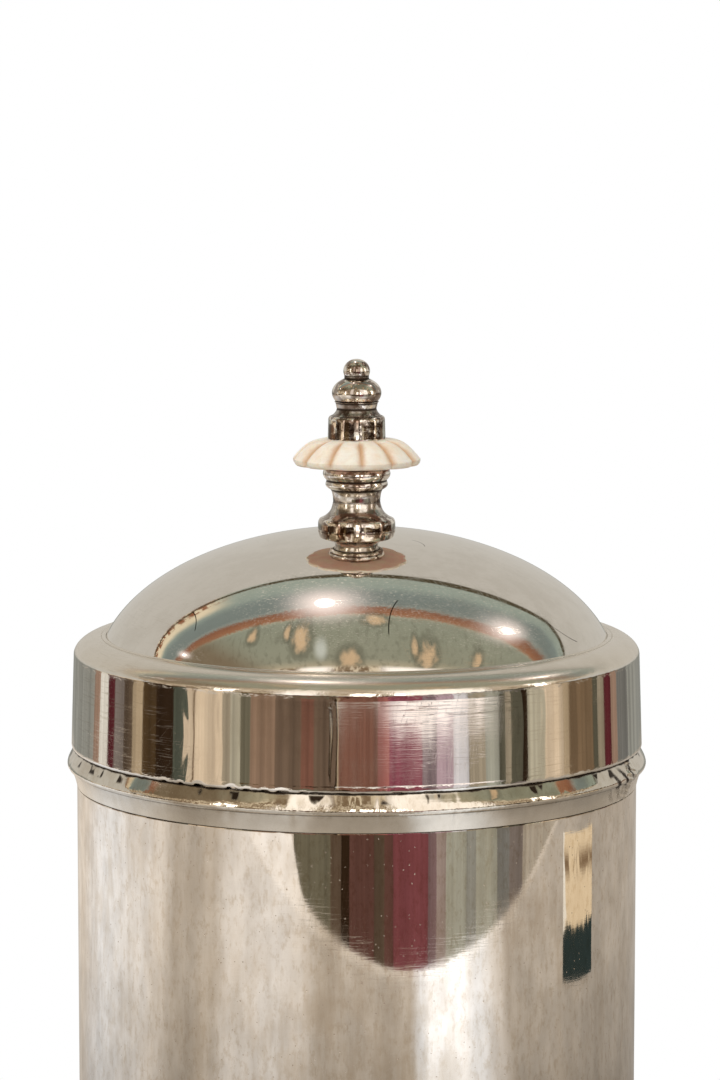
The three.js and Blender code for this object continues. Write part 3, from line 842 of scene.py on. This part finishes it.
# satin and dents: lowest and highest height, and what they add to the roughness or the relief's depth
# marks: x, y and radius of the arc, x and y of the mark's middle, its reach and its width
finishes = {
    "wall": {**plainPlate, "bright": (0.82, 0.76, 0.68), "dull": (0.62, 0.53, 0.42), "dullness": 0.75,
             "smoothest": 0.02, "roughest": 0.055, "streakDraw": 0.12, "streakScale": 420.0,
             "blotchScale": 90.0, "scratches": 0.15, "scuffs": 0.2, "pits": 0.5, "pitScale": 1800.0,
             "pitTint": (0.36, 0.26, 0.18), "mottle": 0.7, "wave": 0.05, "waveScale": 40.0,
             "brushRelief": 0.35, "uprightRelief": 0.5,
             "insideRadius": span("body_wall")[0] - 0.63},
    "inside": {**plainPlate, "bright": (0.66, 0.60, 0.51), "dull": (0.42, 0.36, 0.28), "dullness": 1.0,
               "smoothest": 0.18, "roughest": 0.34, "pits": 0.6, "mottle": 0.3,
               "insideRadius": 1000.0},
    "moulding": {**plainPlate, "bright": (0.80, 0.745, 0.65), "dull": (0.50, 0.41, 0.30),
                 "dullness": 0.6, "smoothest": 0.04, "roughest": 0.09, "grime": 1.0, "mottle": 0.3,
                 "blotchScale": 150.0, "creaseHeight": crease, "jointTurn": 66.0, "wave": 0.05,
                 "waveScale": 170.0, "satin": [(crease - 8.2, crease - 4.6, 0.13)],
                 "dents": [(crease - 4.6, crease - 2.2, 0.08)],
                 "pitRow": (crease - 1.9, crease - 0.3), "brushRelief": 0.6, "grimeFrom": 0.12},
    "band": {**plainPlate, "creaseHeight": crease, "wave": 0.04, "waveScale": 55.0, "scuffs": 0.9,
             "streakDraw": 0.15, "brushRelief": 0.5, "satin": [(crease + 20.4, crease + 24.2, 0.17)],
             "dents": [(crease + 19.4, crease + 21.4, 0.06), (crease - 0.5, crease + 1.0, 0.05)]},
    "dome": {**plainPlate, "dull": (0.62, 0.575, 0.50), "marks": [
        (20.4, -46.0, 13.95, 7.4, -43.0, 4.4, 0.17), (-40.6, -33.8, 8.0, -32.9, -32.9, 2.9, 0.14),
        (10.0, -13.5, 4.1, 13.4, -11.2, 2.6, 0.12), (37.5, -17.5, 10.5, 42.1, -26.9, 4.2, 0.09),
        (-58.0, 12.0, 22.0, -37.0, 18.0, 5.0, 0.10), (12.0, 52.0, 16.0, 20.0, 38.0, 6.0, 0.12),
    ]},
    # finial: crisp dark blotches that are partly tarnish and partly a painted reflection of dark
    # surroundings, with the bright plate between them left as painted highlights
    "finial": {**plainPlate, "bright": (0.93, 0.87, 0.78), "dull": (0.14, 0.075, 0.045), "dullness": 1.0,
               "dullFrom": 0.47, "dullSpan": 0.05, "smoothest": 0.02, "roughest": 0.06,
               "blotchScale": 330.0, "streakScale": 420.0, "grime": 1.0, "grimeFrom": 0.01,
               "wave": 0.08, "waveScale": 420.0, "brushDraw": 0.001, "brushRelief": 0.3},
    "brass": {**plainPlate, "bright": (0.72, 0.58, 0.33), "dull": (0.42, 0.31, 0.16), "dullness": 1.0,
              "smoothest": 0.22, "roughest": 0.42, "blotchScale": 200.0},
}
silver = {key: silverFinish(key + "Silver", finish) for key, finish in finishes.items()}


# under is painted shade on the disc's underside
boneTints = {"pale": (0.93, 0.85, 0.72), "warm": (0.88, 0.74, 0.56), "grain": (0.74, 0.52, 0.34),
             "under": (0.82, 0.36, 0.27), "groove": (0.64, 0.38, 0.20), "crack": (0.45, 0.27, 0.16)}


def boneFinish():
    # cream bone with fine grain, orange brown where the carved grooves are deep, and tinted pinkish brown
    # underneath as painted shade
    material, net, place = newMaterial("carvedBone")
    z = net.parts(place)[2]
    groove = net.add("ShaderNodeAttribute", out=2, attribute_name="groove")
    soft = net.noise(place, 300.0, 5.0, 0.6)
    grain = net.noise(net.vector("MULTIPLY", place, (1, 3.5, 1)), 900.0, 4.0, 0.65)
    cream = net.blend(net.step(soft, 0.35, 0.7), boneTints["pale"], boneTints["warm"])
    cream = net.blend(net.step(grain, 0.52, 0.72, 0.0, 0.35), cream, boneTints["grain"])
    low = span("bone_disc")[1]
    # painted shade: up to 0.45 mm above the disc's foot, the underside is tinted pinkish brown, as it looks
    # in shade
    under = net.linear(soft, 0.0005, z)
    under = net.step(under, (low + 0.45) * mm, (low + 0.1) * mm, 0.0, 0.8)
    cream = net.blend(under, cream, boneTints["under"])
    depth = net.step(net.linear(soft, 0.45, groove), 0.28, 1.15, 0.0, 0.9)
    colour = net.blend(depth, cream, boneTints["groove"])
    crack = net.times(net.line(grain, 0.5, 0.012), 0.3)
    colour = net.blend(crack, colour, boneTints["crack"])
    rough = net.linear(soft, 0.25, 0.26)
    height = net.minus(net.times(grain, 0.6), crack)
    surface = net.relief(0.03, height, Strength=0.6)
    shader = net.add("ShaderNodeBsdfPrincipled", given={
        "Base Color": colour, "Roughness": rough, "Normal": surface, "Subsurface Weight": 0.25,
        "Subsurface Radius": (1.0, 0.6, 0.35), "Subsurface Scale": 0.0015})
    net.show(shader)
    return material


bone = boneFinish()
print("finishes ready")


def bump(angle, turn, width, power=2):
    # bell curve round the axis: exp(-|difference / width|^power), both in degrees
    difference = (np.degrees(angle) - turn + 180) % 360 - 180
    return np.exp(-np.abs(difference / width) ** power)


def outOfRound(angle, height, amount, seed):
    # sum of slow cosines of the angle and the height, each with its own phase
    phases = np.random.default_rng(seed).uniform(0, 2 * math.pi, 6)
    waves = sum(np.cos(k * angle + height / (9.0 + 4 * k) + phases[k]) / k for k in range(2, 6))
    return amount * waves


# jar: wall, floor, foot and rim moulding
wallRadius, wallFoot, neckTop = span("body_wall")
mouthRadius, seat, lipTop = span("lid_band")
wallShape = {"sheet": 0.8, "neckDrawIn": 0.55, "drawInHeight": 0.12, "drawInDrop": 0.01, "guard": 0.3,
             "waver": 0.035}
mouldingShape = {"height": 8.0, "beadHeight": 4.3, "beadSwell": 0.95, "beadSkew": 0.5,
                 "beadFootReach": 0.1, "seatInset": 0.65, "coveHollow": 0.12, "coveEdge": 0.50,
                 "solderGap": 0.05, "jointTurn": 69.0, "jointWidth": 3.2}
floorShape = {"sheet": 0.8}
footShape = {"flat": 1.2, "topEdge": 0.4, "swell": 0.9}
neckRadius = wallRadius - wallShape["neckDrawIn"]


def makeWall():
    # straight wall that draws in to the neck; a guard ring below keeps the wall's shading straight
    top = seat - mouldingShape["height"] - wallShape["drawInDrop"]
    foot = point(wallRadius, top - wallShape["drawInHeight"])
    below = foot - point(0, wallShape["guard"])
    innerTop = point(neckRadius - wallShape["sheet"], top)
    innerRadius = wallRadius - wallShape["sheet"]
    profile = np.vstack([
        point(innerRadius, wallFoot), point(wallRadius, wallFoot), below, foot,
        ease(foot, point(neckRadius, top), 12),
        point(neckRadius, neckTop), point(neckRadius - wallShape["sheet"], neckTop), innerTop,
        ease(innerTop, point(innerRadius, top - wallShape["drawInHeight"]), 12),
    ])

    def waver(radius, height, angle):
        return radius + outOfRound(angle, height, wallShape["waver"], 3), height

    piece = spin("jarWall", profile, 360, 1.6, 0.2, waver)
    return dress(piece, "jar", "wall_silver", silver["wall"], "body_wall")


def makeFloor():
    # flat disc with its rim turned down to the foot
    radius, foot, top = span("body_floor")
    sheet = floorShape["sheet"]
    profile = np.vstack([
        point(0, top - sheet), point(radius - sheet, top - sheet), point(radius - sheet, foot),
        point(radius, foot), point(radius, top), point(0, top),
    ])
    piece = spin("jarFloor", profile, 240, 1.2, 0.3)
    return dress(piece, "jar", "inside_silver", silver["inside"], "body_floor")


def makeFoot():
    # half-round ring outside the foot of the wall
    _, low, high = span("foot_ring")
    inside = wallRadius + mouldingShape["solderGap"]
    outerFoot = point(inside + footShape["flat"], low)
    top = point(inside + footShape["topEdge"], high)
    outside = swell(outerFoot, top, footShape["swell"], 20)
    profile = np.vstack([point(inside, low), outerFoot, outside, point(inside, high)])
    piece = spin("footRing", profile, 360, 0.5, 0.2)
    return dress(piece, "jar", "moulding_silver", silver["moulding"], "foot_ring")


def makeMoulding():
    # bead over cove; the bead is nicked here and there, and lumpy where its two ends were soldered
    shape = mouldingShape
    inside = neckRadius + shape["solderGap"]
    foot = seat - shape["height"]
    coveFoot = point(inside + shape["coveEdge"], foot)
    beadFoot = point(mouthRadius + shape["beadFootReach"], seat - shape["beadHeight"])
    crown = point(mouthRadius - shape["seatInset"], seat)
    profile = np.vstack([
        point(inside, foot), coveFoot, swell(coveFoot, beadFoot, -shape["coveHollow"], 12),
        swell(beadFoot, crown, shape["beadSwell"], 48, shape["beadSkew"]), point(inside, seat),
    ])
    dents = np.random.default_rng(11)
    places = dents.uniform(-180, 180, 60)
    sizes = dents.uniform(0.02, 0.10, 60)
    widths = dents.uniform(0.4, 1.5, 60)

    def age(radius, height, angle):
        outside = unit((radius - inside) / 0.8)
        level = unit((height - foot) / shape["height"])
        dent = sum(size * bump(angle, place, width) for place, size, width in zip(places, sizes, widths))
        degrees = np.degrees(angle)
        joint = bump(angle, shape["jointTurn"], shape["jointWidth"])
        lumps = np.sin(degrees * 2.3 + height * 2.9) * np.sin(degrees * 1.1 - height * 2.1)
        slope = np.sin(degrees * 1.9 + height * 1.5)
        radius = radius - outside * dent * np.sin(level * math.pi)
        radius = radius + outside * joint * (0.20 + 0.26 * lumps + 0.14 * slope)
        return radius + outside * outOfRound(angle, height, 0.03, 5), height

    piece = spin("rimMoulding", profile, 900, 0.45, 0.1, age, cavityWidth=0.6)
    return dress(piece, "jar", "moulding_silver", silver["moulding"], "rim_moulding")


# lid: band with its shoulder, and dome
bandShape = {
    "sheet": 0.9, "height": 19.6, "taper": 0.6, "seatWidth": 0.25, "hemHeight": 0.7,
    "shoulderWidth": 6.85, "shoulderRise": 3.85, "gap": 0.05, "ringWidth": 0.95, "ringSwell": 0.26,
    # degrees from the front, half width in degrees and depth of the nicks in the hem
    "nicks": [
        (-40.4, 0.7, 0.30), (-36.2, 0.6, 0.35), (-32.0, 1.1, 0.55), (-24.7, 1.1, 0.60),
        (-21.5, 0.9, 0.35), (-17.8, 0.9, 0.40), (-14.2, 1.3, 0.40), (-10.0, 0.9, 0.35),
        (-2.7, 1.6, 0.25), (7.8, 1.2, 0.30), (14.2, 1.5, 0.30), (25.5, 3.5, 0.22), (38.0, 4.0, 0.18),
        (50.0, 4.0, 0.15),
    ],
    # degrees from the front, half width in degrees, depth and sway in degrees of the upright creases
    "creases": [(-35.0, 0.8, 0.014, 0.6), (-4.6, 0.45, 0.016, 0.15), (-27.6, 0.4, 0.008, 0.3),
                (33.0, 0.7, 0.010, 0.3), (38.6, 0.5, 0.010, 0.3), (47.5, 0.4, 0.008, 0.2)],
}
domeShape = {"sheet": 0.8, "rise": 22.3, "sink": 8.7, "tuck": 2.0, "bore": 2.2}
bandRadius = mouthRadius - bandShape["taper"]
domeEdge = bandRadius - bandShape["shoulderWidth"]
shoulderTop = seat + bandShape["height"] + bandShape["shoulderRise"]
domeCentre = shoulderTop - domeShape["sink"]
domeHalfHeight = domeShape["rise"] + domeShape["sink"]
domeHalfWidth = domeEdge / math.sqrt(1 - (domeShape["sink"] / domeHalfHeight) ** 2)


def domeRadiusAt(height, inset=0.0):
    # half width * sqrt(1 - rise^2), the rise being a share of the half height
    rise = (height - domeCentre) / (domeHalfHeight - inset)
    return (domeHalfWidth - inset) * math.sqrt(1 - rise ** 2)


def domeTurnAt(height, inset=0.0):
    # degrees along the ellipse, from its widest point up to the height
    return math.degrees(math.asin((height - domeCentre) / (domeHalfHeight - inset)))


def makeBand():
    # band with a rounded hem, an elliptical shoulder and a ring at the dome's foot
    shape = bandShape
    insideMouth = mouthRadius - shape["sheet"]
    shoulderFoot = seat + shape["height"]
    hemFoot = point(insideMouth + shape["seatWidth"], seat)
    lip = domeRadiusAt(shoulderTop) + shape["gap"]
    lipUnder = domeRadiusAt(shoulderTop - shape["sheet"]) + shape["gap"]
    centre = point(domeEdge, shoulderFoot)

    def shoulder(inset, reach, steps):
        width, rise = shape["shoulderWidth"] - inset, shape["shoulderRise"] - inset
        end = math.degrees(math.acos((reach - domeEdge) / width))
        return ellipseArc(centre, (width, rise), 0, end, steps)

    slope = shoulder(0, lip + shape["ringWidth"], 40)
    ring = swell(slope[-1:], point(lip, shoulderTop), shape["ringSwell"], 12)
    hemTop = point(mouthRadius, seat + shape["hemHeight"])
    profile = np.vstack([
        point(insideMouth, seat), hemFoot, quarter(hemFoot, hemTop, 10, True),
        point(bandRadius, shoulderFoot), slope, ring, shoulder(shape["sheet"], lipUnder, 24)[::-1],
        point(bandRadius - shape["sheet"], shoulderFoot),
    ])
    more = np.random.default_rng(23)
    farNicks = zip(more.uniform(75, 310, 14), more.uniform(0.8, 2.2, 14), more.uniform(0.2, 0.45, 14))
    farCreases = zip(more.uniform(75, 290, 9), more.uniform(0.5, 1.1, 9), more.uniform(0.008, 0.02, 9),
                     more.uniform(0.1, 0.8, 9))
    nicks = shape["nicks"] + list(farNicks)
    creases = shape["creases"] + list(farCreases)

    def age(radius, height, angle):
        low = unit(1 - (height - seat) / shape["hemHeight"])
        nick = sum(depth * bump(angle, turn, width, 6) for turn, width, depth in nicks)
        level = unit((height - seat - shape["hemHeight"]) / 3)
        level = level * unit((shoulderFoot - height) / 3)
        for turn, width, depth, sway in creases:
            bent = angle - math.radians(sway) * np.sin(height / 2.6 + turn)
            radius = radius - level * depth * bump(bent, turn, width)
        inBand = unit((shoulderTop - height) / 4)
        return radius + inBand * outOfRound(angle, height, 0.015, 8), height + nick * low

    piece = spin("lidBand", profile, 1080, 0.9, 0.12, age, cavityWidth=0.5)
    return dress(piece, "lid", "lid_silver", silver["band"], "lid_band")


def makeDome():
    # shell between two ellipses, bored for the stud
    shape = domeShape
    inset = shape["sheet"]
    rim = shoulderTop - shape["tuck"]
    domeTop = span("lid_dome")[2]
    under = domeTop - inset
    outerRadii = (domeHalfWidth, domeHalfHeight)
    innerRadii = (domeHalfWidth - inset, domeHalfHeight - inset)
    centre = point(0, domeCentre)
    profile = np.vstack([
        point(domeRadiusAt(rim, inset), rim), point(domeRadiusAt(rim), rim),
        ellipseArc(centre, outerRadii, domeTurnAt(rim), domeTurnAt(domeTop), 110),
        point(shape["bore"], domeTop), point(shape["bore"], under),
        point(domeRadiusAt(under, inset), under),
        ellipseArc(centre, innerRadii, domeTurnAt(under, inset), domeTurnAt(rim, inset), 60)[:-1],
    ])

    def age(radius, height, angle):
        away = unit((radius - 9) / 12) * unit((height - rim - 2) / 5)
        return radius, height + away * outOfRound(angle, height, 0.035, 14)

    piece = spin("lidDome", profile, 480, 1.2, 0.1, age)
    return dress(piece, "lid", "lid_silver", silver["dome"], "lid_dome")


# finial: base, carved bone disc and knob, clamped by a threaded stud, a washer and a nut
baseShape = {"collarHeight": 1.5, "collarTaper": 0.05, "collarEdge": 0.65, "collarEdgeRise": 1.1,
             "waistRadius": 4.95, "waistRise": 3.5, "waistHollow": 0.65, "throatRadius": 5.75,
             "throatRise": 2.7, "ringRadius": 6.3, "ringRise": 1.8, "ringSwell": 0.5,
             "cupRadius": 6.75, "cupRise": 2.6, "cupSwell": 0.55, "bore": 2.2}
knobShape = {"collarHeight": 4.1, "collarTaper": 0.12, "edge": 0.7, "neckRadius": 4.15, "neckRise": 1.5,
             "neckHollow": 0.2, "lipReach": 0.2, "lipHeight": 0.3, "bulbRadius": 5.18,
             "bulbHalfHeight": 3.4, "bulbFootCut": 0.73, "bulbFootRise": 1.6, "ballRadius": 2.8,
             "ballHalfHeight": 2.5, "ballNeckCut": 0.22, "ballNeckRise": 0.66, "bore": 2.2, "grip": 6.0}
discShape = {"radius": 13.45, "rimHeight": 1.3, "rimTuck": 0.75, "crown": 0.75, "seatRadius": 6.5,
             "bore": 2.2, "petals": 12, "scallop": 0.7, "groove": 0.50, "puff": 0.32, "turn": 5.0}
studShape = {"pitch": 0.8, "depth": 0.28}


def makeBase():
    # from below: collar, hollow waist, throat, ring and cup
    shape = baseShape
    radius, low, high = span("finial_base")
    collarTop = point(radius - shape["collarTaper"], low + shape["collarHeight"])
    edgeTop = point(radius - shape["collarEdge"], low + shape["collarHeight"] + shape["collarEdgeRise"])
    waist = point(shape["waistRadius"], edgeTop[0, 1] + shape["waistRise"])
    throat = point(shape["throatRadius"], waist[0, 1] + shape["throatRise"])
    ringTop = point(shape["ringRadius"], throat[0, 1] + shape["ringRise"])
    cupTop = point(shape["cupRadius"], ringTop[0, 1] + shape["cupRise"])
    profile = np.vstack([
        point(shape["bore"], low), point(radius, low), collarTop, quarter(collarTop, edgeTop, 8),
        swell(edgeTop, waist, -shape["waistHollow"], 18), quarter(waist, throat, 14),
        swell(throat, ringTop, shape["ringSwell"], 14), swell(ringTop, cupTop, shape["cupSwell"], 18),
        point(shape["cupRadius"], high), point(shape["bore"], high),
    ])
    piece = spin("finialBase", profile, 240, 0.35, 0.12, cavityWidth=0.35)
    return dress(piece, "lid", "finial_silver", silver["finial"], "finial_base")


def bulbArc(foot, halfWidth, halfHeight, endRadius, steps):
    # ellipse on the axis from its foot, below the middle, up to a point above it with the end radius
    footTurn = -math.acos(foot[0, 0] / halfWidth)
    endTurn = math.acos(endRadius / halfWidth)
    centre = point(0, foot[0, 1] - halfHeight * math.sin(footTurn))
    return ellipseArc(centre, (halfWidth, halfHeight), math.degrees(footTurn), math.degrees(endTurn), steps)


def makeKnob():
    # from below: collar, hollow neck, lip, bulb and ball
    shape = knobShape
    radius, low, _ = span("finial_knob")
    collarTop = point(radius - shape["collarTaper"], low + shape["collarHeight"])
    edgeTop = point(radius - shape["edge"], collarTop[0, 1] + shape["edge"])
    neck = point(shape["neckRadius"], edgeTop[0, 1] + shape["neckRise"])
    bulbFoot = point(shape["bulbRadius"] - shape["bulbFootCut"], neck[0, 1] + shape["bulbFootRise"])
    lipFoot = bulbFoot - point(0, shape["lipHeight"])
    lip = swell(lipFoot, bulbFoot, shape["lipReach"], 8)
    ballNeck = shape["ballRadius"] - shape["ballNeckCut"]
    bulb = bulbArc(bulbFoot, shape["bulbRadius"], shape["bulbHalfHeight"], ballNeck, 32)
    ballFoot = point(ballNeck, bulb[-1, 1] + shape["ballNeckRise"])
    ball = bulbArc(ballFoot, shape["ballRadius"], shape["ballHalfHeight"], 0.0, 30)
    ball[-1, 0] = 0
    profile = np.vstack([
        point(0, low + shape["grip"]), point(shape["bore"], low + shape["grip"]),
        point(shape["bore"], low), point(radius, low), collarTop, quarter(collarTop, edgeTop, 8),
        swell(edgeTop, neck, -shape["neckHollow"], 8), lipFoot, lip, bulb, ballFoot, ball,
    ])
    piece = spin("finialKnob", profile, 240, 0.3, 0.1, cavityWidth=0.35)
    return dress(piece, "lid", "finial_silver", silver["finial"], "finial_knob")


def makeDisc():
    # the groove is (1 - |sin(petals * angle / 2)|)^1.7; it sinks the top and draws in the rim
    shape = discShape
    _, low, high = span("bone_disc")
    radius, seatRadius = shape["radius"], shape["seatRadius"]
    rim, under = point(radius, low + shape["rimHeight"]), point(radius - shape["rimTuck"], low)
    crown = swell(rim, point(seatRadius, high), shape["crown"], 44)
    profile = np.vstack([
        point(shape["bore"], low), under, quarter(under, rim, 12, True), crown, point(shape["bore"], high),
    ])

    def grooveAt(angle):
        turned = shape["petals"] * (angle - math.radians(shape["turn"])) / 2
        return (1 - np.abs(np.sin(turned))) ** 1.7

    def carve(places, height, angle):
        reach = unit((places - seatRadius) / (radius - seatRadius))
        groove = grooveAt(angle)
        upper = unit((height - low - 0.6 * shape["rimHeight"]) / 0.6)
        puff = shape["puff"] * (1 - groove) * np.sin(math.pi * reach)
        sink = shape["groove"] * groove * np.sin(math.pi * reach) ** 0.8
        return places - shape["scallop"] * groove * reach ** 2, height + upper * (puff - sink)

    piece = spin("boneDisc", profile, 720, 0.5, 0.15, carve)
    places = np.zeros(len(piece.data.vertices) * 3, np.float32)
    piece.data.vertices.foreach_get("co", places)
    places = places.reshape(-1, 3) / mm
    angle = np.arctan2(places[:, 0], -places[:, 1])
    outward = unit((np.hypot(places[:, 0], places[:, 1]) - seatRadius + 1) / 2.5)
    upward = np.clip((places[:, 2] - low) / shape["rimHeight"], 0.25, 1)
    store(piece.data, "groove", grooveAt(angle) * outward * upward)
    return dress(piece, "lid", "carved_bone", bone, "bone_disc")


def makeStud():
    # thread: the radius falls by a triangle wave of height / pitch minus angle / full turn
    radius, low, high = span("finial_stud")
    profile = np.vstack([point(0, low), point(radius, low), point(radius, high), point(0, high)])

    def cutThread(places, height, angle):
        phase = (height - low) / studShape["pitch"] - angle / (2 * math.pi)
        wave = np.abs((phase % 1) * 2 - 1)
        onSide = places > radius * 0.98
        return places - np.where(onSide, studShape["depth"] * wave, 0), height

    piece = spin("finialStud", profile, 72, 0.13, 0.2, cutThread)
    return dress(piece, "lid", "fastening_brass", silver["brass"], "finial_stud")


for make in (makeWall, makeFloor, makeFoot, makeMoulding, makeBand, makeDome, makeBase, makeKnob,
             makeDisc, makeStud):
    make()
for name in ("finial_washer", "finial_nut"):
    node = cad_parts[name]
    node.data.materials.clear()
    node.data.materials.append(silver["brass"])
